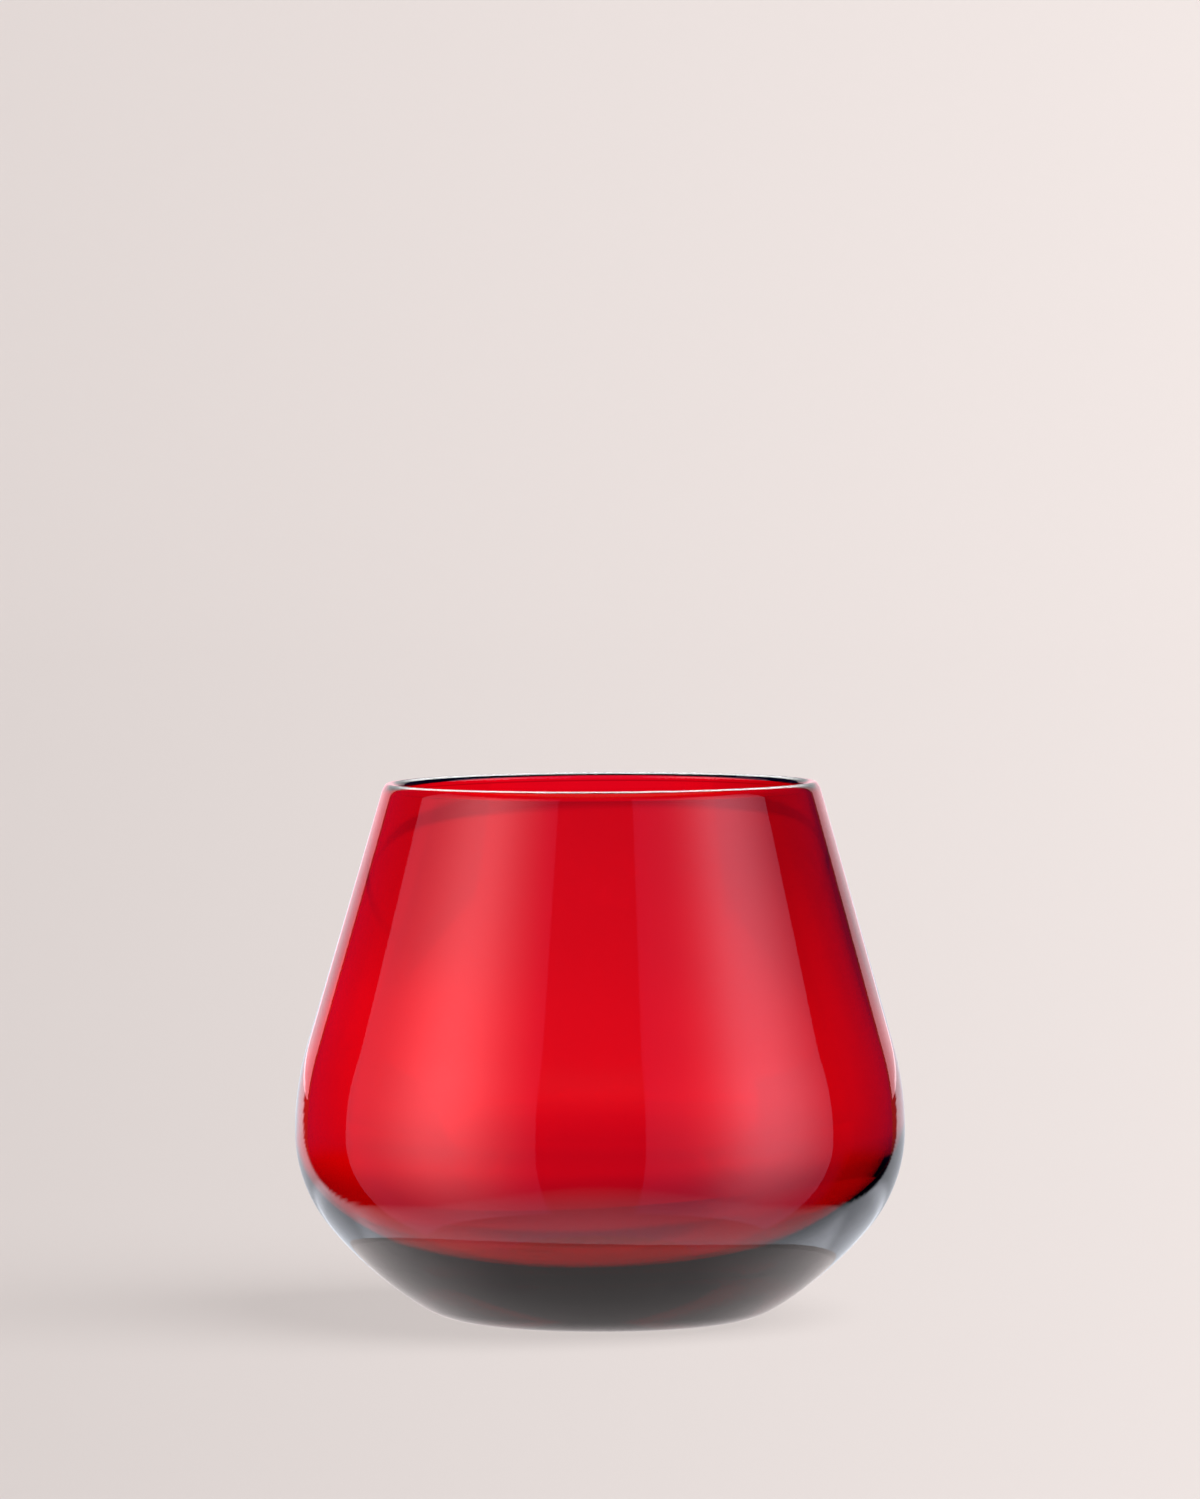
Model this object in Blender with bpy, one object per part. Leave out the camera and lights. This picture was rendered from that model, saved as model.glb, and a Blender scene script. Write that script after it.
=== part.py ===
"""Olive oil tasting glass: a thin ruby bowl, wide at the belly and drawn in at the mouth, on a heavy dark base.

The glass is turned about +Z and stands on the origin. Sizes are in millimetres at the top and become metres
when the meshes are made.
"""

import math

import bmesh
import bpy

MM = 0.001

# Outside of the glass
HEIGHT = 61.6
MOUTH_DIAMETER = 50.6
BELLY_DIAMETER = 70.0
BELLY_HEIGHT = 21.7
SHOULDER_RADIUS = 36.0      # curve from the belly up into the straight leaning wall
HAUNCH_RADIUS = 17.2        # curve from the belly down into the flank
FLANK_RADIUS = 45.0         # slack curve between the haunch and the foot
FOOT_DIAMETER = 30.2        # flat that the glass stands on
FOOT_RADIUS = 10.3          # round between the flank and the flat
LIP_RADIUS = 1.3            # outer round of the lip

# Inside of the glass
WALL = 1.4
LIP_EDGE = 0.35             # inner round of the lip
FLOOR_THICKNESS = 5.0       # bottom of the inside down to the table, on the axis
DISH_RADIUS = 90.0          # hollow of the inside's floor

# Where the base meets the bowl
SEAM_HEIGHT = 7.0           # outer edge of the base, above the table
SEAM_GAP = 0.3              # clearance left between the two pieces of glass

# Facets
SIDES = 72                  # round the axis
ARC_STEP = math.radians(7.5)
SHARP_ANGLE = math.radians(40.0)
WELD = 0.001                # points of the outline that meet on the axis or at the end of the turn

RUBY = (0.55, 0.004, 0.012, 1.0)
SMOKE = (0.045, 0.033, 0.034, 1.0)
GLASS_ROUGHNESS = 0.02
GLASS_IOR = 1.52


def arc(centre, radius, start, end):
    """Points of an arc in the (radius, height) plane, both ends included. Angles run from +radius to +height."""
    steps = max(2, math.ceil(abs(end - start) / ARC_STEP))
    angles = [start + (end - start) * i / steps for i in range(steps + 1)]
    return [(centre[0] + radius * math.cos(a), centre[1] + radius * math.sin(a)) for a in angles]


def outline():
    """Centres and angles that the inside and the outside of the glass share."""
    belly = BELLY_DIAMETER / 2
    crest = MOUTH_DIAMETER / 2 - LIP_RADIUS
    lip = (crest, HEIGHT - LIP_RADIUS)
    edge = (crest, HEIGHT - LIP_EDGE)
    shoulder = (belly - SHOULDER_RADIUS, BELLY_HEIGHT)
    haunch = (belly - HAUNCH_RADIUS, BELLY_HEIGHT)
    foot = (FOOT_DIAMETER / 2, FOOT_RADIUS)

    # Inside and outside, the wall runs straight from the lip and meets the shoulder's curve without a corner.
    rise = math.atan2(lip[1] - shoulder[1], lip[0] - shoulder[0])
    lean = rise - math.acos((SHOULDER_RADIUS - LIP_RADIUS) / math.dist(lip, shoulder))
    inner_rise = math.atan2(edge[1] - shoulder[1], edge[0] - shoulder[0])
    inner_lean = inner_rise - math.acos((SHOULDER_RADIUS - WALL + LIP_EDGE) / math.dist(edge, shoulder))

    # The flank is an arc that runs into the haunch above it and into the foot below it.
    to_haunch, to_foot = FLANK_RADIUS - HAUNCH_RADIUS, FLANK_RADIUS - FOOT_RADIUS
    apart = math.dist(haunch, foot)
    along = (to_foot ** 2 - to_haunch ** 2 + apart ** 2) / (2 * apart)
    aside = math.sqrt(to_foot ** 2 - along ** 2)
    right, up = (haunch[0] - foot[0]) / apart, (haunch[1] - foot[1]) / apart
    flank = (foot[0] + along * right - aside * up, foot[1] + along * up + aside * right)
    foot_end = math.atan2(foot[1] - flank[1], foot[0] - flank[0])
    haunch_start = math.atan2(haunch[1] - flank[1], haunch[0] - flank[0])
    return {"lip": lip, "edge": edge, "shoulder": shoulder, "haunch": haunch, "flank": flank, "foot": foot,
            "lean": lean, "inner_lean": inner_lean, "foot_end": foot_end, "haunch_start": haunch_start}


def inside():
    """Centres and radii of the cavity: a haunch that runs out of the wall into a dished floor."""
    belly = BELLY_DIAMETER / 2 - WALL
    depth = BELLY_HEIGHT - FLOOR_THICKNESS
    turn = (2 * depth * DISH_RADIUS - belly ** 2 - depth ** 2) / (2 * (DISH_RADIUS - belly))
    haunch = (belly - turn, BELLY_HEIGHT)
    dish = (0.0, FLOOR_THICKNESS + DISH_RADIUS)
    meet = math.atan2(haunch[1] - dish[1], haunch[0] - dish[0])
    return {"haunch": haunch, "turn": turn, "dish": dish, "meet": meet}


def floor_curve(offset):
    """The cavity's floor and haunch moved outwards by offset, from the axis to the belly."""
    hollow = inside()
    floor = arc(hollow["dish"], DISH_RADIUS + offset, -math.pi / 2, hollow["meet"])
    haunch = arc(hollow["haunch"], hollow["turn"] + offset, hollow["meet"], 0.0)
    return floor + haunch[1:]


def below(points, height):
    """The start of a rising outline, ended exactly at a height."""
    kept = [p for p in points if p[1] < height]
    before, after = points[len(kept) - 1], points[len(kept)]
    share = (height - before[1]) / (after[1] - before[1])
    return kept + [(before[0] + share * (after[0] - before[0]), height)]


def outside():
    """The outside from the belly down to the flat of the foot, as a rising outline from the axis."""
    shape = outline()
    foot = arc(shape["foot"], FOOT_RADIUS, -math.pi / 2, shape["foot_end"])
    flank = arc(shape["flank"], FLANK_RADIUS, shape["foot_end"], shape["haunch_start"])
    haunch = arc(shape["haunch"], HAUNCH_RADIUS, shape["haunch_start"], 0.0)
    return [(0.0, 0.0)] + foot + flank[1:] + haunch[1:]


def bowl_profile():
    """From the middle of the inside, up to the lip, down the outside, under the bowl and back to the axis."""
    shape = outline()
    lean, inner_lean = shape["lean"], shape["inner_lean"]
    inner_wall = arc(shape["shoulder"], SHOULDER_RADIUS - WALL, 0.0, inner_lean)
    lip = arc(shape["edge"], LIP_EDGE, inner_lean + math.pi, math.pi / 2)
    lip += arc(shape["lip"], LIP_RADIUS, math.pi / 2, lean)[1:]
    outer_wall = arc(shape["shoulder"], SHOULDER_RADIUS, lean, 0.0)
    ledge = SEAM_HEIGHT + SEAM_GAP
    flank = [p for p in outside() if p[1] > ledge]
    edge = below(outside(), ledge)[-1]
    underside = below(floor_curve(WALL), ledge)
    down = outer_wall[:-1] + flank[::-1] + [edge]
    return floor_curve(0.0) + inner_wall[1:] + lip + down + underside[::-1]


def base_profile():
    """From the middle of the seat out to the seam, down the flank and the foot, and back to the axis."""
    seat = below(floor_curve(WALL + SEAM_GAP), SEAM_HEIGHT)
    flank = below(outside(), SEAM_HEIGHT)
    return seat + flank[::-1]


def glass(name, colour):
    """Clear coloured glass."""
    material = bpy.data.materials.new(name)
    material.use_nodes = True
    shader = material.node_tree.nodes["Principled BSDF"]
    shader.inputs["Base Color"].default_value = colour
    shader.inputs["Roughness"].default_value = GLASS_ROUGHNESS
    shader.inputs["Metallic"].default_value = 0.0
    shader.inputs["IOR"].default_value = GLASS_IOR
    shader.inputs["Transmission Weight"].default_value = 1.0
    return material


def turned(name, profile, material):
    """A solid turned about +Z from a (radius, height) outline that starts and ends on the axis."""
    bm = bmesh.new()
    verts = [bm.verts.new((r * MM, 0.0, z * MM)) for r, z in profile]
    edges = [bm.edges.new(pair) for pair in zip(verts, verts[1:])]
    bmesh.ops.spin(bm, geom=verts + edges, cent=(0, 0, 0), axis=(0, 0, 1), angle=math.tau, steps=SIDES)
    bmesh.ops.remove_doubles(bm, verts=bm.verts, dist=WELD * MM)
    bmesh.ops.recalc_face_normals(bm, faces=bm.faces)
    mesh = bpy.data.meshes.new(name)
    bm.to_mesh(mesh)
    bm.free()
    mesh.shade_smooth()
    mesh.set_sharp_from_angle(angle=SHARP_ANGLE)
    mesh.materials.append(material)
    piece = bpy.data.objects.new(name, mesh)
    bpy.context.scene.collection.objects.link(piece)
    return piece


for old in list(bpy.data.objects):
    bpy.data.objects.remove(old, do_unlink=True)

turned("ruby_bowl", bowl_profile(), glass("ruby_glass", RUBY))
turned("heavy_base", base_profile(), glass("smoke_glass", SMOKE))
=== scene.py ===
"""Looks of the olive oil tasting glass: fine turned glass over the frame's two nodes, in a pale studio."""

import math

import bmesh
import bpy
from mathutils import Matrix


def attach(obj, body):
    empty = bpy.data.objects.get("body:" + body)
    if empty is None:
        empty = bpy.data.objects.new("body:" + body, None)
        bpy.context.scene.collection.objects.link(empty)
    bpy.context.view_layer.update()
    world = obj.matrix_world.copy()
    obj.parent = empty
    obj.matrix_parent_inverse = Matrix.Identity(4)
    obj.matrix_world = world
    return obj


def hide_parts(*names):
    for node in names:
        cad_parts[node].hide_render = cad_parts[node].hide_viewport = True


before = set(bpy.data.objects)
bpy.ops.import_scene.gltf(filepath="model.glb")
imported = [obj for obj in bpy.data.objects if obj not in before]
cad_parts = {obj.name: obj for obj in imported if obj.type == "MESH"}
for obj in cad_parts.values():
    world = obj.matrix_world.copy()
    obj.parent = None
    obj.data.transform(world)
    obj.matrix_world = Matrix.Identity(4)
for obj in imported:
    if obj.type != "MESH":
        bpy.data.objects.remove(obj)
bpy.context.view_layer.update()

MM = 0.001

# The glass, in millimetres
HEIGHT = 61.6
MOUTH_DIAMETER = 50.6
BELLY_DIAMETER = 70.0
BELLY_HEIGHT = 21.7
SHOULDER_RADIUS = 36.0      # curve from the belly up into the straight leaning wall
HAUNCH_RADIUS = 17.2        # curve from the belly down into the flank
FLANK_RADIUS = 45.0         # slack curve between the haunch and the foot
FOOT_DIAMETER = 30.2        # flat that the glass stands on
FOOT_RADIUS = 10.3          # round between the flank and the flat
WALL = 1.4                  # at the belly
CREST_DIAMETER = 48.6       # top of the lip
LIP_CREST = 0.6             # outer round of the lip
LIP_SLOPE = math.radians(40.0)      # where that round passes into the slacker outside of the lip
LIP_EDGE = 0.65             # inner round of the lip
FLOOR_THICKNESS = 5.0       # bottom of the inside down to the table, on the axis
DISH_RADIUS = 90.0          # hollow of the inside's floor
SEAM_HEIGHT = 7.0           # outer edge of the base, above the table
SEAM_GAP = 0.01             # the two glasses are fused, so the seam is closed to a hair

# Small faults of the blown glass
RIM_TILT = 0.14             # rise of the rim on the right and fall on the left
RIM_SHIFT = 0.15            # to the right
CAVITY_RIGHT = 1.8          # degrees by which the bottom of the inside leans to the right
CAVITY_BACK = 2.8           # and to the back
SADDLE = 0.75               # how much higher the inside's bottom is on both sides than in front and behind
SADDLE_SINK = 0.2           # share of it by which all the bottom is let down
SADDLE_REACH = 8.0          # from the axis out to where the saddle has its full form
SADDLE_DEPTH = 12.0         # and from the belly down

# Facets
SIDES = 288
ARC_STEP = math.radians(1.5)
STRAIGHT_STEP = 1.5
WELD = 0.0005
SHARP_ANGLE = math.radians(35.0)

# Glass
GLASS_IOR = 1.52
RUBY_ABSORPTION = (100.0, 4400.0, 2980.0)     # per metre, for red, green and blue
SMOKE_ABSORPTION = (60.0, 420.0, 420.0)
WAVE_SIZE = 22.0            # slow unevenness of the blown surface, in millimetres
WAVE_DEPTH = 0.002

# Camera, fitted to the photograph's outline: metres, with its lens and sensor in millimetres
CAMERA_DISTANCE = 1.0
CAMERA_HEIGHT = 0.1074
CAMERA_PITCH = math.radians(2.41)
CAMERA_LENS = 209.7
CAMERA_CLIP = 0.01
SENSOR = 36.0
BOUNCES = 32                # light goes through many walls of glass

# From here on metres and degrees. Azimuth 0 faces the camera and grows to its right. A pair named azimuths or
# elevations is the extent of a sheet. Any other pair runs from where a change isn't felt yet to where it is
# full. A triple that isn't a colour is a bell: a centre, and a width on each side of it.
ALL_AZIMUTHS = (-180.0, 180.0)
ROUND_STEP = 2.0            # between the points of a ring

# Paper that the glass stands on
PAPER = (0.54, 0.497, 0.484)
PAPER_GLOW = 0.2
PAPER_SLOPE = 1.1           # how much brighter the paper gets to the right
PAPER_SLOPE_END = 0.1       # share of the distance to the camera, to each side, where that ends
PAPER_NEAREST = 0.2         # least distance to the camera that counts in it
PAPER_DROP = 0.0003         # under the glass
FLOOR_REACH = 2.5
SWEEP_RADIUS = 3.0          # the paper rises beyond the floor
SWEEP_TURN = 1.5            # by this angle, in radians
FLOOR_MIDDLE = [0.0004, 0.005, 0.01]    # rings of the floor under the glass, as shares of its reach
FLOOR_STEP = 0.02
SWEEP_STEP = 0.05

# Room and sun, which light the paper alone
ROOM = 0.75
DARK_ROOM = 0.035           # what the glass meets where no sheet of light stands
SUN_STRENGTH = 1.97
SUN_AZIMUTH = 58.0
SUN_ELEVATION = 40.0
SUN_WIDTH = 65.0

# Sheets of light on a dome round the glass
WHITE = (1.0, 1.0, 1.0)
LAMP_DISTANCE = 8.0
LAMP_HEIGHT = 0.03
LAMP_STEP = 1.5
NEAR_LAYER = 0.95           # shares of the distance, so that a clear sheet lies apart from what is behind it
LAMP_LAYER = 1.0
DIFFUSER_LAYER = 1.05
WALL_LAYER = 1.1

# The two soft panels, each with a main spot and a faint second one: strength, then its bell across the panel
PANEL_ELEVATIONS = (-50.0, 40.0)
PANELS = {
    "left": {
        "azimuths": (-111.0, -24.0),
        "light": (1.55, 1.0, 1.05),
        "tint": (0.35, 0.05, 0.2),
        "spots": ((1.7, (-62.0, 16.5, 16.5)), (0.3, (-105.0, 20.0, 20.0))),
        "rise": (18.0, 35.0, 14.0),
    },
    "right": {
        "azimuths": (17.0, 98.0),
        "light": (1.2, 1.0, 1.2),
        "tint": (0.1, 0.05, 0.2),
        "spots": ((1.8, (66.0, 14.5, 18.0)), (0.13, (25.0, 12.0, 12.0))),
        "rise": (12.0, 31.0, 20.0),
    },
}

# Dim wall behind the camera, and a faint window between the panels
FRONT_WALL = (0.06, 0.035, 0.2)
FRONT_AZIMUTHS = (-145.0, 145.0)
FRONT_ELEVATIONS = (-70.0, 50.0)
FRONT_SIDES = (24.0, 104.0)
FRONT_SIDE_LOSS = 0.6
FRONT_ENDS = (100.0, 110.0)
FRONT_FOOT = (-4.0, -12.0)
FRONT_FOOT_LOSS = 0.9       # where the ends meet the foot
WINDOW_GLOW = 0.09
WINDOW_ELEVATIONS = (0.0, 40.0)
WINDOW_RISE = (20.0, 6.0, 6.0)

# Backdrop, the blush at its foot, and the lights over it
BEHIND = 180.0
BACKDROP_GLOW = 0.88
BACKDROP_LIGHT = (0.98, 1.0, 1.02)
BACKDROP_AZIMUTHS = (147.0, 213.0)
BACKDROP_ELEVATIONS = (-1.2, 60.0)
BACKDROP_SIDES = (18.0, 33.0)
BACKDROP_SIDE_LOSS = 0.3
BLUSH_LIGHT = (1.0, 0.0, 0.13)      # red, for the silhouettes
BLUSH_LEFT = 0.7
BLUSH_RIGHT = 0.48
BLUSH_TOP = (12.0, 6.0)
HIGH_GLOW = 1.7             # light that the lip mirrors
HIGH_AZIMUTHS = (130.0, 230.0)
HIGH_ELEVATIONS = (14.0, 85.0)
HIGH_FOOT = (14.0, 28.0)
HIGH_TOP = (85.0, 75.0)
HIGH_GAIN = 4.0
HIGH_RISE = (10.0, 65.0)
HIGH_REACH = 24.0           # to each side, at the horizon
HIGH_SPREAD = 0.6           # more to each side, per degree of elevation
HIGH_EDGE = 8.0
OVERHEAD_GLOW = 0.3
OVERHEAD_ELEVATIONS = (55.0, 90.0)

# Table as the glass mirrors it. Its lit part has a soft outline and a tighter one that cuts it off.
TABLE_GLOW = 1.7
TABLE_LIGHT = (0.97, 1.0, 1.1)
TABLE_DROP = 0.0002         # under the glass, and over the paper
TABLE_NEAR = 0.2            # reach of the fine rings beyond the shade
TABLE_NEAR_STEP = 0.0025
TABLE_GAP = 0.01            # from the fine rings to the coarse ones
TABLE_REACH = 3.0
TABLE_REACH_STEP = 0.07
TABLE_FRONT = 0.047         # reach of the lit part towards the camera
TABLE_SOFT = (0.056, 0.064)         # curve of the soft outline's front, and its half width behind
TABLE_CUT = (0.039, 0.052)          # the same of the tighter one
TABLE_SPREAD = 0.5          # how much wider it gets behind, to each side, per metre
TABLE_FALL = 2.67           # how fast the depth grows from the sides inwards, behind
TABLE_SINK = 0.022          # taken off the depth there
SOFT_START = 0.030          # the light starts this far outside the soft outline
SOFT_LENGTH = 0.052         # and is full after this, in front
SOFT_LESS = 0.03            # less than that behind
SOFT_TURN = (-0.02, 0.02)
SOFT_POWER = 1.85
CUT_DEPTH = (-0.0245, -0.0195)
SIDE_LOSS = 0.43            # close to the glass, beside and behind it
SIDE_TURN = (82.0, 94.0)
SIDE_REACH = (0.075, 0.055)
FAR_LOSS = 0.62
FAR_FADE = (0.058, 0.088)
FAR_GAIN = 0.12
FAR_RISE = (0.15, 0.35)
LEFT_GAIN = 0.2
LEFT_RISE = (0.05, 0.08)

# Shade that the belly casts on the table
SHADE_GLOW = 0.46           # share of the light that is left
SHADE_LIGHT = (1.1, 1.0, 1.0)
SHADE_RADIUS = 0.0342
SHADE_SHIFT = 0.0012        # to the left
SHADE_LEFT = 0.25           # how much further it reaches on each side behind the glass
SHADE_RIGHT = 0.15
SHADE_SIDE = (135.0, 20.0, 9.0)
SHADE_DIP = 0.3             # darker part-way out
SHADE_DIP_AT = (0.7, 0.15, 0.15)
SHADE_FLANK_GAIN = 0.3
SHADE_FLANKS = (0.010, 0.025)
SHADE_LINE = 0.85           # the edge of the shade is a little darker still
SHADE_LINE_FROM = 0.97      # share of the shade's radius
SHADE_MIDDLE = 0.003        # rings of the shade, as shares of it too
SHADE_START = 0.1
SHADE_STEP = 0.07
SHADE_HAIR = 0.0001         # keeps the shade's edges sharp

# Table as it is seen through the glass
THROUGH_GLOW = 0.295        # close to the glass, which shades it
THROUGH_FAR = 0.9
THROUGH_FADE = (0.09, 0.12)
THROUGH_FLANK_GAIN = 0.5
THROUGH_FLANKS = (0.012, 0.026)
THROUGH_RIGHT_LOSS = 0.12
THROUGH_RIGHT = (0.0, 0.01)
THROUGH_SHADE_LOSS = 0.5
THROUGH_SHADE = (1.0, 0.7)  # in shares of the shade's radius
THROUGH_BACK_LOSS = 0.9
THROUGH_BACK = (140.0, 160.0)
THROUGH_BACK_EDGE = (1.02, 0.87)

# Card of light close behind the glass, only seen through it. It runs across from -1 on the left to 1.
CARD_DISTANCE = 0.06
CARD_GLOW = 1.09
CARD_LIGHT = (1.0, 0.92, 0.9)
CARD_AZIMUTHS = (85.0, 275.0)
CARD_AZIMUTH_STEP = 1.25
CARD_QUARTER = 90.0         # from the middle to 1 across
CARD_HEIGHT = 0.1
CARD_HEIGHT_STEP = 0.0005
CARD_FADE = 0.18
CARD_FADE_UP = (0.020, 0.060)
CARD_FOOT = 0.55
CARD_FOOT_DOWN = (0.022, 0.0)
CARD_SLOPE = 0.25           # loss from the middle to the right end
CARD_BELLY_LEFT = 0.2       # gain beside the belly, on each side
CARD_BELLY_RIGHT = 0.1
CARD_BELLY_SIDES = (0.05, 0.20)
CARD_BELLY_UP = (0.028, 0.009, 0.008)
CARD_PARTS = (              # lighter and darker parts, each within pairs across and up the card
    {"gain": -0.38, "up": [(0.0554, 0.0560), (0.0576, 0.0570)]},                # band under the lip
    {"gain": -0.15, "across": [(-0.17, -0.33)]},                                # left part
    {"gain": -0.23, "across": [(0.12, 0.32)]},                                  # right part
    {"gain": -0.25, "across": [(0.05, 0.30)], "up": [(0.040, 0.052)]},          # top of the right part
    {"gain": -1.0, "across": [(0.567, 0.597)], "up": [(0.010, 0.008)]},         # right corner of the foot
    {"gain": -0.25, "across": [(0.36, 0.60)]},                                  # right edge
    {"gain": 0.6, "across": [(-0.56, -0.64)], "up": [(0.03, 0.04)]},            # top of the left edge
    {"gain": 0.12, "across": [(-0.18, -0.26), (-0.45, -0.35)], "up": [(0.042, 0.032)]},     # low on the left
    {"gain": 0.12, "across": [(0.18, 0.26), (0.45, 0.35)], "up": [(0.042, 0.032)]},         # low on the right
)


def ramp(value, start, end):
    """0 up to the start and 1 from the end on, and smooth between them. The end may lie below the start."""
    share = min(1.0, max(0.0, (value - start) / (end - start)))
    return share * share * (3.0 - 2.0 * share)


def bell(value, centre, before, after):
    """A bell curve with its own width on each side of its centre."""
    width = before if value < centre else after
    return math.exp(-0.5 * ((value - centre) / width) ** 2)


def span(start, end, step):
    """Even values from start to end, about a step apart."""
    steps = max(1, round((end - start) / step))
    return [start + (end - start) * i / steps for i in range(steps + 1)]


def arc(centre, radius, start, end):
    """Points of an arc in the (radius, height) plane, both ends included."""
    steps = max(2, math.ceil(abs(end - start) / ARC_STEP))
    angles = [start + (end - start) * i / steps for i in range(steps + 1)]
    return [(centre[0] + radius * math.cos(a), centre[1] + radius * math.sin(a)) for a in angles]


def outline():
    """Centres and angles that the inside and the outside of the glass share."""
    belly = BELLY_DIAMETER / 2
    mouth = MOUTH_DIAMETER / 2
    crest = (CREST_DIAMETER / 2, HEIGHT - LIP_CREST)
    edge = (CREST_DIAMETER / 2, HEIGHT - LIP_EDGE)
    shoulder = (belly - SHOULDER_RADIUS, BELLY_HEIGHT)
    haunch = (belly - HAUNCH_RADIUS, BELLY_HEIGHT)
    foot = (FOOT_DIAMETER / 2, FOOT_RADIUS)

    # The outside of the lip runs out of the crest's round and reaches the diameter of the mouth.
    lip_radius = (mouth - crest[0] - LIP_CREST * math.cos(LIP_SLOPE)) / (1.0 - math.cos(LIP_SLOPE))
    lip = (mouth - lip_radius, crest[1] + (LIP_CREST - lip_radius) * math.sin(LIP_SLOPE))

    # Inside and outside, the wall runs straight from the lip and meets the shoulder's curve without a corner.
    rise = math.atan2(lip[1] - shoulder[1], lip[0] - shoulder[0])
    lean = rise - math.acos((SHOULDER_RADIUS - lip_radius) / math.dist(lip, shoulder))
    inner_rise = math.atan2(edge[1] - shoulder[1], edge[0] - shoulder[0])
    inner_lean = inner_rise - math.acos((SHOULDER_RADIUS - WALL + LIP_EDGE) / math.dist(edge, shoulder))

    # The flank is an arc that runs into the haunch above it and into the foot below it.
    to_haunch, to_foot = FLANK_RADIUS - HAUNCH_RADIUS, FLANK_RADIUS - FOOT_RADIUS
    apart = math.dist(haunch, foot)
    along = (to_foot ** 2 - to_haunch ** 2 + apart ** 2) / (2 * apart)
    aside = math.sqrt(to_foot ** 2 - along ** 2)
    right, up = (haunch[0] - foot[0]) / apart, (haunch[1] - foot[1]) / apart
    flank = (foot[0] + along * right - aside * up, foot[1] + along * up + aside * right)
    foot_end = math.atan2(foot[1] - flank[1], foot[0] - flank[0])
    haunch_start = math.atan2(haunch[1] - flank[1], haunch[0] - flank[0])
    return {"crest": crest, "edge": edge, "lip": lip, "lip_radius": lip_radius, "shoulder": shoulder,
            "haunch": haunch, "flank": flank, "foot": foot, "lean": lean, "inner_lean": inner_lean,
            "foot_end": foot_end, "haunch_start": haunch_start}


def floor_curve(offset):
    """The cavity's floor and haunch moved outwards by offset, from the axis to the belly."""
    belly = BELLY_DIAMETER / 2 - WALL
    depth = BELLY_HEIGHT - FLOOR_THICKNESS
    turn = (2 * depth * DISH_RADIUS - belly ** 2 - depth ** 2) / (2 * (DISH_RADIUS - belly))
    haunch = (belly - turn, BELLY_HEIGHT)
    dish = (0.0, FLOOR_THICKNESS + DISH_RADIUS)
    meet = math.atan2(haunch[1] - dish[1], haunch[0] - dish[0])
    floor = arc(dish, DISH_RADIUS + offset, -math.pi / 2, meet)
    return floor + arc(haunch, turn + offset, meet, 0.0)[1:]


def outside():
    """The outside from the middle of the foot up to the belly."""
    shape = outline()
    foot = arc(shape["foot"], FOOT_RADIUS, -math.pi / 2, shape["foot_end"])
    flank = arc(shape["flank"], FLANK_RADIUS, shape["foot_end"], shape["haunch_start"])
    haunch = arc(shape["haunch"], HAUNCH_RADIUS, shape["haunch_start"], 0.0)
    return [(0.0, 0.0)] + foot + flank[1:] + haunch[1:]


def below(points, height):
    """The start of a rising outline, ended exactly at a height."""
    kept = [p for p in points if p[1] < height]
    before, after = points[len(kept) - 1], points[len(kept)]
    share = (height - before[1]) / (after[1] - before[1])
    return kept + [(before[0] + share * (after[0] - before[0]), height)]


def bowl_profile():
    """Exposed stretch, then the stretch fused to the base."""
    shape = outline()
    lean, inner_lean = shape["lean"], shape["inner_lean"]
    inner_wall = arc(shape["shoulder"], SHOULDER_RADIUS - WALL, 0.0, inner_lean)
    lip = arc(shape["edge"], LIP_EDGE, inner_lean + math.pi, math.pi / 2)
    lip += arc(shape["crest"], LIP_CREST, math.pi / 2, LIP_SLOPE)[1:]
    lip += arc(shape["lip"], shape["lip_radius"], LIP_SLOPE, lean)[1:]
    outer_wall = arc(shape["shoulder"], SHOULDER_RADIUS, lean, 0.0)
    ledge = SEAM_HEIGHT + SEAM_GAP
    flank = [p for p in outside() if p[1] > ledge]
    edge = below(outside(), ledge)[-1:]
    exposed = floor_curve(0.0) + inner_wall[1:] + lip + outer_wall[:-1] + flank[::-1] + edge
    return exposed, below(floor_curve(WALL), ledge)[::-1]


def base_profile():
    """Exposed stretch, then the stretch fused to the bowl."""
    seat = below(floor_curve(WALL + SEAM_GAP), SEAM_HEIGHT)
    return below(outside(), SEAM_HEIGHT)[::-1], seat


def filled_in(points):
    """The outline with long straight stretches cut into short ones."""
    fine = [points[0]]
    for before, after in zip(points, points[1:]):
        steps = max(1, round(math.dist(before, after) / STRAIGHT_STEP))
        fine += [tuple(b + (a - b) * i / steps for b, a in zip(before, after)) for i in range(1, steps + 1)]
    return fine


def blown(radius, height, angle, cavity):
    """A point of the turned outline, in metres, with the faults of the blown glass."""
    x, y = radius * math.cos(angle), radius * math.sin(angle)
    rise = ramp(height, BELLY_HEIGHT, HEIGHT)
    z = height + rise * RIM_TILT * x / (MOUTH_DIAMETER / 2)
    x += rise * RIM_SHIFT
    if cavity:
        across, behind = (math.radians(a) * (1.0 - rise) for a in (CAVITY_RIGHT, CAVITY_BACK))
        drop = BELLY_HEIGHT - z
        saddle = ramp(radius, 0.0, SADDLE_REACH) * math.cos(angle) ** 2 - SADDLE_SINK
        lift = SADDLE * saddle * ramp(drop, 0.0, SADDLE_DEPTH)
        x, y, z = x + across * drop, y + behind * drop, z + across * x + behind * y + lift
    return (x * MM, y * MM, z * MM)


def placed(name, data):
    """A new object in the scene."""
    obj = bpy.data.objects.new(name, data)
    bpy.context.scene.collection.objects.link(obj)
    return obj


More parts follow.
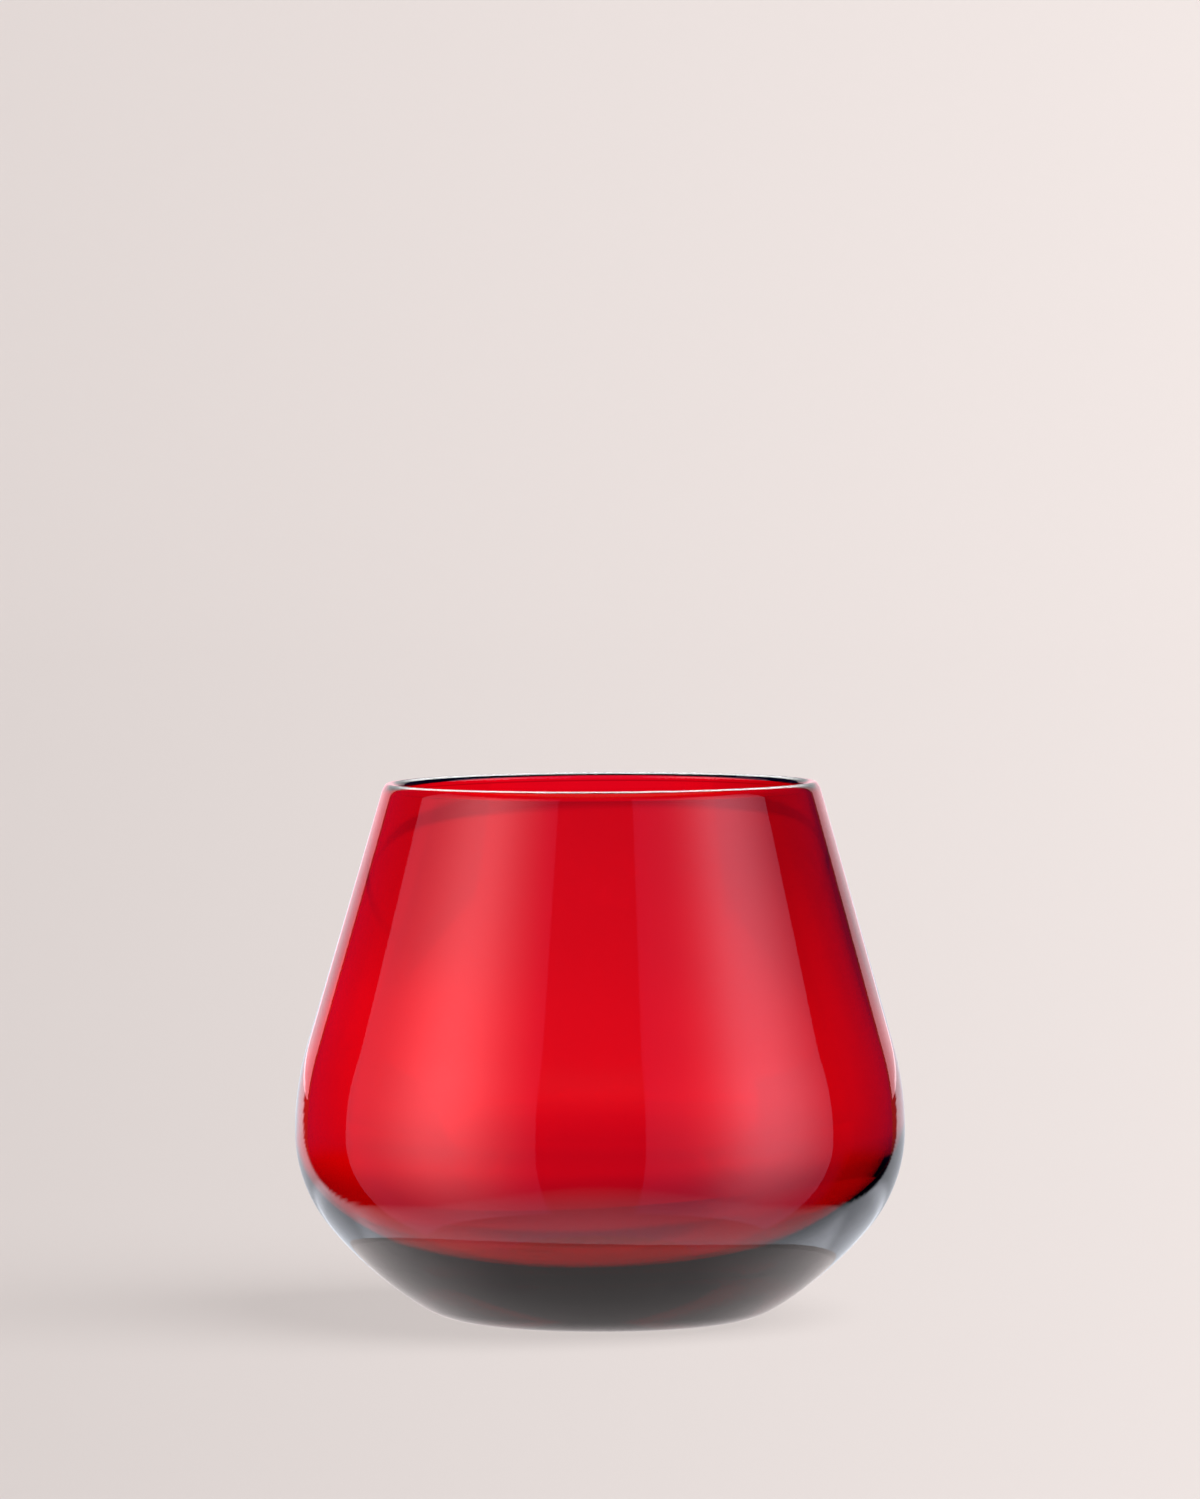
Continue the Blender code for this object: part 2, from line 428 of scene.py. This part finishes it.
def turned(name, exposed, fused, cavity=False):
    """A turned piece whose faces carry a mark, fused, where they melt into the other piece."""
    exposed, fused = filled_in(exposed), filled_in(fused)
    crest = max(range(len(exposed)), key=lambda k: exposed[k][1]) if cavity else 0
    bm = bmesh.new()
    mark = bm.faces.layers.float.new("fused")
    turn = [math.tau * i / SIDES for i in range(SIDES)]
    rings = []
    for k, (radius, height) in enumerate(exposed + fused):
        angles = turn if radius > WELD else [0.0]
        rings.append([bm.verts.new(blown(radius, height, a, k < crest)) for a in angles])
    closed = rings + rings[:1] if len(rings[0]) > 1 else rings
    for k, (upper, lower) in enumerate(zip(closed, closed[1:])):
        if len(upper) == len(lower) == 1:
            continue
        for i in range(SIDES):
            j = (i + 1) % SIDES
            left_side = [upper[i % len(upper)], lower[i % len(lower)]]
            right_side = [lower[j % len(lower)], upper[j % len(upper)]]
            face = bm.faces.new(list(dict.fromkeys(left_side + right_side)))
            face[mark] = 1.0 if k >= len(exposed) - 1 else 0.0
    bmesh.ops.recalc_face_normals(bm, faces=bm.faces)
    mesh = bpy.data.meshes.new(name)
    bm.to_mesh(mesh)
    bm.free()
    mesh.shade_smooth()
    mesh.set_sharp_from_angle(angle=SHARP_ANGLE)
    return placed(name, mesh)


def new_material(name):
    """A material with its nodes and links."""
    material = bpy.data.materials.new(name)
    material.use_nodes = True
    return material, material.node_tree.nodes, material.node_tree.links


def attribute(nodes, name):
    """Output of a node that reads a mesh attribute."""
    node = nodes.new("ShaderNodeAttribute")
    node.attribute_name = name
    return node.outputs["Fac"]


def glass(name, absorption):
    """Polished glass, coloured all through, that doesn't bend light where it is fused to the other glass."""
    material, nodes, links = new_material(name)
    shader = nodes["Principled BSDF"]
    shader.inputs["Base Color"].default_value = (1.0, 1.0, 1.0, 1.0)
    shader.inputs["Roughness"].default_value = 0.0
    shader.inputs["Transmission Weight"].default_value = 1.0
    shader.inputs["IOR"].default_value = GLASS_IOR

    bend = nodes.new("ShaderNodeMath")
    bend.operation = "MULTIPLY_ADD"
    bend.inputs[1].default_value = 1.0 - GLASS_IOR
    bend.inputs[2].default_value = GLASS_IOR
    links.new(attribute(nodes, "fused"), bend.inputs[0])
    links.new(bend.outputs["Value"], shader.inputs["IOR"])

    place = nodes.new("ShaderNodeTexCoord")
    waves = nodes.new("ShaderNodeTexNoise")
    waves.inputs["Scale"].default_value = 1.0 / (WAVE_SIZE * MM)
    waves.inputs["Detail"].default_value = 1.0
    relief = nodes.new("ShaderNodeBump")
    relief.inputs["Strength"].default_value = 1.0
    relief.inputs["Distance"].default_value = WAVE_DEPTH * MM
    links.new(place.outputs["Object"], waves.inputs["Vector"])
    links.new(waves.outputs["Fac"], relief.inputs["Height"])
    links.new(relief.outputs["Normal"], shader.inputs["Normal"])

    volume = nodes.new("ShaderNodeVolumeAbsorption")
    density = max(absorption)
    volume.inputs["Density"].default_value = density
    volume.inputs["Color"].default_value = [1.0 - a / density for a in absorption] + [1.0]
    links.new(volume.outputs["Volume"], nodes["Material Output"].inputs["Volume"])
    return material


def paper(name, colour):
    """Matt paper that also glows by its point attribute, glow."""
    material, nodes, links = new_material(name)
    shader = nodes["Principled BSDF"]
    shader.inputs["Base Color"].default_value = colour + (1.0,)
    shader.inputs["Roughness"].default_value = 1.0
    shader.inputs["Specular IOR Level"].default_value = 0.0
    brightest = max(colour)
    shader.inputs["Emission Color"].default_value = [c / brightest for c in colour] + [1.0]
    links.new(attribute(nodes, "glow"), shader.inputs["Emission Strength"])
    return material


def lamp(name, colour, clear=False):
    """Light given off by the point attribute, glow. Through a clear lamp, what lies behind it shines too."""
    material, nodes, links = new_material(name)
    nodes.remove(nodes["Principled BSDF"])
    light = nodes.new("ShaderNodeEmission")
    light.inputs["Color"].default_value = colour + (1.0,)
    links.new(attribute(nodes, "glow"), light.inputs["Strength"])
    surface = light.outputs["Emission"]
    if clear:
        behind = nodes.new("ShaderNodeBsdfTransparent")
        both = nodes.new("ShaderNodeAddShader")
        links.new(surface, both.inputs[0])
        links.new(behind.outputs["BSDF"], both.inputs[1])
        surface = both.outputs["Shader"]
    links.new(surface, nodes["Material Output"].inputs["Surface"])
    return material


def seen_by(obj, camera=False, diffuse=False, glossy=False, transmission=False, shadow=False):
    """Let only some kinds of rays meet a sheet of the stage."""
    obj.visible_camera = camera
    obj.visible_diffuse = diffuse
    obj.visible_glossy = glossy
    obj.visible_transmission = transmission
    obj.visible_shadow = shadow
    obj.visible_volume_scatter = False


def sheet(name, us, vs, place, glow, material, **kinds_of_rays):
    """A stage sheet through place(u, v), with glow(u, v) as the brightness of its points."""
    grid = [(u, v) for u in us for v in vs]
    wide = len(vs)
    faces = [(k * wide + i, k * wide + i + 1, (k + 1) * wide + i + 1, (k + 1) * wide + i)
             for k in range(len(us) - 1) for i in range(wide - 1)]
    mesh = bpy.data.meshes.new(name)
    mesh.from_pydata([place(u, v) for u, v in grid], [], faces)
    mesh.shade_smooth()
    mesh.attributes.new("glow", "FLOAT", "POINT").data.foreach_set("value", [glow(u, v) for u, v in grid])
    mesh.materials.append(material)
    obj = placed(name, mesh)
    seen_by(obj, **kinds_of_rays)


def dome(layer):
    """Places on a layer of the dome, by azimuth and elevation."""
    def place(azimuth, elevation):
        a, e = math.radians(azimuth), math.radians(elevation)
        x = LAMP_DISTANCE * math.cos(e) * math.sin(a)
        y = -LAMP_DISTANCE * math.cos(e) * math.cos(a)
        z = LAMP_DISTANCE * math.sin(e) + LAMP_HEIGHT
        return (layer * x, layer * y, layer * z)
    return place


def lamp_sheet(name, azimuths, elevations, layer, glow, material, **kinds_of_rays):
    """A sheet of light on a layer of the dome."""
    us, vs = span(*azimuths, LAMP_STEP), span(*elevations, LAMP_STEP)
    sheet(name, us, vs, dome(layer), glow, material, **kinds_of_rays)


def even(level):
    """The same glow all over a sheet."""
    return lambda u, v: level


def panel_glow(panel):
    """Spots of light across a panel, which fade towards its top and foot."""
    def glow(azimuth, elevation):
        across = sum(strength * bell(azimuth, *spot) for strength, spot in panel["spots"])
        return across * bell(elevation, *panel["rise"])
    return glow


def wall_glow(azimuth, elevation):
    """Dimmer to the sides, and nearly dark at the foot of its ends."""
    level = 1.0 - FRONT_SIDE_LOSS * ramp(abs(azimuth), *FRONT_SIDES)
    return level * (1.0 - FRONT_FOOT_LOSS * ramp(elevation, *FRONT_FOOT) * ramp(abs(azimuth), *FRONT_ENDS))


def window_glow(azimuth, elevation):
    """A soft bar between the panels."""
    return WINDOW_GLOW * bell(elevation, *WINDOW_RISE)


def backdrop_glow(azimuth, elevation):
    """Dimmer to the sides."""
    return BACKDROP_GLOW * (1.0 - BACKDROP_SIDE_LOSS * ramp(abs(azimuth - BEHIND), *BACKDROP_SIDES))


def blush_glow(azimuth, elevation):
    """Stronger on the left."""
    return (BLUSH_LEFT if azimuth > BEHIND else BLUSH_RIGHT) * ramp(elevation, *BLUSH_TOP)


def high_glow(azimuth, elevation):
    """Brighter and wider higher up."""
    reach = HIGH_REACH + HIGH_SPREAD * elevation
    level = HIGH_GLOW * (1.0 + HIGH_GAIN * ramp(elevation, *HIGH_RISE)) * ramp(elevation, *HIGH_FOOT)
    return level * ramp(abs(azimuth - BEHIND), reach, reach - HIGH_EDGE) * ramp(elevation, *HIGH_TOP)


def shade_edge(azimuth):
    """Radius of the belly's shade on the table, drawn out behind the glass away from each panel."""
    reach = SHADE_RIGHT if azimuth > 0 else SHADE_LEFT
    drawn_out = SHADE_RADIUS * (1.0 + reach * bell(abs(azimuth), *SHADE_SIDE))
    return drawn_out - SHADE_SHIFT * math.sin(math.radians(azimuth))


def on_table(azimuth, along):
    """Up to 1 inside the belly's shade, from there on beyond it by metres more than 1."""
    radius = shade_edge(azimuth) * min(1.0, along) + max(0.0, along - 1.0)
    a = math.radians(azimuth)
    return (radius * math.sin(a), -radius * math.cos(a), -TABLE_DROP)


def lit_depth(x, y, shape):
    """How deep a point lies in the table's lit part, a parabola in front and straight lines behind."""
    curve, half_width = shape
    if y > 0.0:
        return TABLE_FALL * (half_width + TABLE_SPREAD * y - abs(x)) - TABLE_SINK
    return y - x * x / curve + TABLE_FRONT


def table_glow(azimuth, along):
    """The light on the table fades to the front, the sides and far off, and the belly shades the middle."""
    x, y, _ = on_table(azimuth, along)
    radius = math.hypot(x, y)
    length = SOFT_LENGTH - SOFT_LESS * ramp(y, *SOFT_TURN)
    share = (lit_depth(x, y, TABLE_SOFT) + SOFT_START) / length
    level = TABLE_GLOW * min(1.0, max(0.0, share)) ** SOFT_POWER
    level *= ramp(lit_depth(x, y, TABLE_CUT), *CUT_DEPTH)
    if along >= 1.0:
        level *= 1.0 - SIDE_LOSS * ramp(abs(azimuth), *SIDE_TURN) * ramp(radius, *SIDE_REACH)
        level *= 1.0 - FAR_LOSS * ramp(radius, *FAR_FADE) + FAR_GAIN * ramp(radius, *FAR_RISE)
        return level * (1.0 + LEFT_GAIN * ramp(-x, *LEFT_RISE))
    dip = 1.0 - SHADE_DIP * bell(along, *SHADE_DIP_AT)
    dip *= 1.0 + SHADE_FLANK_GAIN * ramp(abs(x), *SHADE_FLANKS)
    return level * SHADE_GLOW * dip * (SHADE_LINE if along > SHADE_LINE_FROM else 1.0)


def through_glow(azimuth, along):
    """Dull close to the glass, which shades it, and as bright as the backdrop further off."""
    x, y, _ = on_table(azimuth, along)
    near = THROUGH_GLOW * (1.0 + THROUGH_FLANK_GAIN * ramp(abs(x), *THROUGH_FLANKS)
                           - THROUGH_RIGHT_LOSS * ramp(x, *THROUGH_RIGHT))
    near *= 1.0 - THROUGH_SHADE_LOSS * ramp(along, *THROUGH_SHADE)
    near *= 1.0 - THROUGH_BACK_LOSS * ramp(abs(azimuth), *THROUGH_BACK) * ramp(along, *THROUGH_BACK_EDGE)
    far = ramp(math.hypot(x, y), *THROUGH_FADE)
    return near * (1.0 - far) + far * THROUGH_FAR


def on_card(azimuth, z):
    """The card is bent round the back of the glass."""
    a = math.radians(azimuth)
    return (CARD_DISTANCE * math.sin(a), -CARD_DISTANCE * math.cos(a), z)


def card_glow(azimuth, z):
    """Stronger low down, but not at the foot, and on the left, with lighter and darker parts."""
    across = (BEHIND - azimuth) / CARD_QUARTER
    level = 1.0 - CARD_FADE * ramp(z, *CARD_FADE_UP) - CARD_FOOT * ramp(z, *CARD_FOOT_DOWN)
    level *= 1.0 - CARD_SLOPE * max(0.0, across)
    for part in CARD_PARTS:
        shares = [ramp(across, *pair) for pair in part.get("across", [])]
        shares += [ramp(z, *pair) for pair in part.get("up", [])]
        level *= 1.0 + part["gain"] * math.prod(shares)
    belly = CARD_BELLY_LEFT if across < 0 else CARD_BELLY_RIGHT
    level *= 1.0 + belly * ramp(abs(across), *CARD_BELLY_SIDES) * bell(z, *CARD_BELLY_UP)
    return CARD_GLOW * level


def on_sweep(azimuth, along):
    """Up to 1 the floor, from there up the sweep by an angle in radians less 1."""
    radius, height = FLOOR_REACH * along, 0.0
    if along > 1.0:
        radius = FLOOR_REACH + SWEEP_RADIUS * math.sin(along - 1.0)
        height = SWEEP_RADIUS * (1.0 - math.cos(along - 1.0))
    a = math.radians(azimuth)
    return (radius * math.sin(a), -radius * math.cos(a), height - PAPER_DROP)


def sweep_glow(azimuth, along):
    """Brighter to the right of the view."""
    x, y, _ = on_sweep(azimuth, along)
    aside = x / max(PAPER_NEAREST, y + CAMERA_DISTANCE)
    return PAPER_GLOW + PAPER_SLOPE * min(PAPER_SLOPE_END, max(-PAPER_SLOPE_END, aside))


bowl = turned("bowl_glass", *bowl_profile(), cavity=True)
bowl.data.materials.append(glass("ruby_glass", RUBY_ABSORPTION))
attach(bowl, "root")
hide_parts("ruby_bowl")
bowl.visible_diffuse = False

base = turned("base_glass", *base_profile())
base.data.materials.append(glass("smoke_glass", SMOKE_ABSORPTION))
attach(base, "root")
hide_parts("heavy_base")
base.visible_diffuse = False

# Paper, table and card. Rings are finest where the light on them changes most.
around = span(*ALL_AZIMUTHS, ROUND_STEP)
floor_rings = FLOOR_MIDDLE + span(FLOOR_STEP, 1.0, FLOOR_STEP)
sweep_rings = span(1.0, 1.0 + SWEEP_TURN, SWEEP_STEP)[1:]
sheet("sweep", around, floor_rings + sweep_rings, on_sweep, sweep_glow, paper("sweep_paper", PAPER),
      camera=True, diffuse=True, shadow=True)

shade_rings = [SHADE_MIDDLE] + span(SHADE_START, SHADE_LINE_FROM, SHADE_STEP)
shade_rings += [SHADE_LINE_FROM + SHADE_HAIR, 1.0 - SHADE_HAIR]
table_rings = span(1.0, 1.0 + TABLE_NEAR, TABLE_NEAR_STEP)
table_rings += span(1.0 + TABLE_NEAR + TABLE_GAP, 1.0 + TABLE_REACH, TABLE_REACH_STEP)
sheet("table_shade", around, shade_rings, on_table, table_glow, lamp("shade_light", SHADE_LIGHT, clear=True),
      glossy=True)
sheet("table_light", around, table_rings, on_table, table_glow, lamp("table_glow", TABLE_LIGHT, clear=True),
      glossy=True)
sheet("table_behind", around, shade_rings + table_rings, on_table, through_glow,
      lamp("table_dull", WHITE, clear=True), transmission=True)

card_columns = span(*CARD_AZIMUTHS, CARD_AZIMUTH_STEP)
card_rows = span(0.0, CARD_HEIGHT, CARD_HEIGHT_STEP)
sheet("back_card", card_columns, card_rows, on_card, card_glow, lamp("card_light", CARD_LIGHT),
      transmission=True)

# Lights on the dome
for name, panel in PANELS.items():
    lamp_sheet(name + "_panel", panel["azimuths"], PANEL_ELEVATIONS, LAMP_LAYER, panel_glow(panel),
               lamp(name + "_light", panel["light"], clear=True), glossy=True, transmission=True)
    lamp_sheet(name + "_diffuser", panel["azimuths"], PANEL_ELEVATIONS, DIFFUSER_LAYER, even(1.0),
               lamp(name + "_tint", panel["tint"], clear=True), glossy=True)

window_azimuths = (PANELS["left"]["azimuths"][1], PANELS["right"]["azimuths"][0])
lamp_sheet("front_window", window_azimuths, WINDOW_ELEVATIONS, LAMP_LAYER, window_glow,
           lamp("window_light", WHITE, clear=True), glossy=True)
lamp_sheet("front_wall", FRONT_AZIMUTHS, FRONT_ELEVATIONS, WALL_LAYER, wall_glow,
           lamp("front_light", FRONT_WALL), glossy=True)

lamp_sheet("backdrop", BACKDROP_AZIMUTHS, BACKDROP_ELEVATIONS, LAMP_LAYER, backdrop_glow,
           lamp("backdrop_light", BACKDROP_LIGHT), glossy=True, transmission=True)
blush_elevations = (BACKDROP_ELEVATIONS[0], BLUSH_TOP[0])
lamp_sheet("backdrop_foot", BACKDROP_AZIMUTHS, blush_elevations, NEAR_LAYER, blush_glow,
           lamp("blush_light", BLUSH_LIGHT, clear=True), glossy=True)
lamp_sheet("high_back", HIGH_AZIMUTHS, HIGH_ELEVATIONS, NEAR_LAYER, high_glow,
           lamp("high_light", WHITE, clear=True), glossy=True)
lamp_sheet("overhead", ALL_AZIMUTHS, OVERHEAD_ELEVATIONS, LAMP_LAYER, even(OVERHEAD_GLOW),
           lamp("overhead_light", WHITE), glossy=True, transmission=True)

world = bpy.data.worlds.new("studio")
bpy.context.scene.world = world
world.use_nodes = True
world_nodes, world_links = world.node_tree.nodes, world.node_tree.links
path = world_nodes.new("ShaderNodeLightPath")
room = world_nodes.new("ShaderNodeMix")
room.data_type = "RGBA"
room.inputs["A"].default_value = (DARK_ROOM, DARK_ROOM, DARK_ROOM, 1.0)
room.inputs["B"].default_value = (ROOM, ROOM, ROOM, 1.0)
world_links.new(path.outputs["Is Diffuse Ray"], room.inputs["Factor"])
world_links.new(room.outputs["Result"], world_nodes["Background"].inputs["Color"])

sun_data = bpy.data.lights.new("sun", "SUN")
sun_data.energy = SUN_STRENGTH
sun_data.angle = math.radians(SUN_WIDTH)
sun = placed("sun", sun_data)
sun.rotation_euler = (math.radians(90 - SUN_ELEVATION), 0.0, math.radians(SUN_AZIMUTH))
sun.visible_glossy = False
sun.visible_transmission = False

camera_data = bpy.data.cameras.new("camera")
camera_data.sensor_width = SENSOR
camera_data.lens = CAMERA_LENS
camera_data.clip_start = CAMERA_CLIP
camera = placed("camera", camera_data)
camera.location = (0.0, -CAMERA_DISTANCE, CAMERA_HEIGHT)
camera.rotation_euler = (math.pi / 2 - CAMERA_PITCH, 0.0, 0.0)

scene = bpy.context.scene
scene.camera = camera
scene.view_settings.view_transform = "Standard"
scene.cycles.max_bounces = BOUNCES
scene.cycles.transmission_bounces = BOUNCES
scene.cycles.transparent_max_bounces = BOUNCES
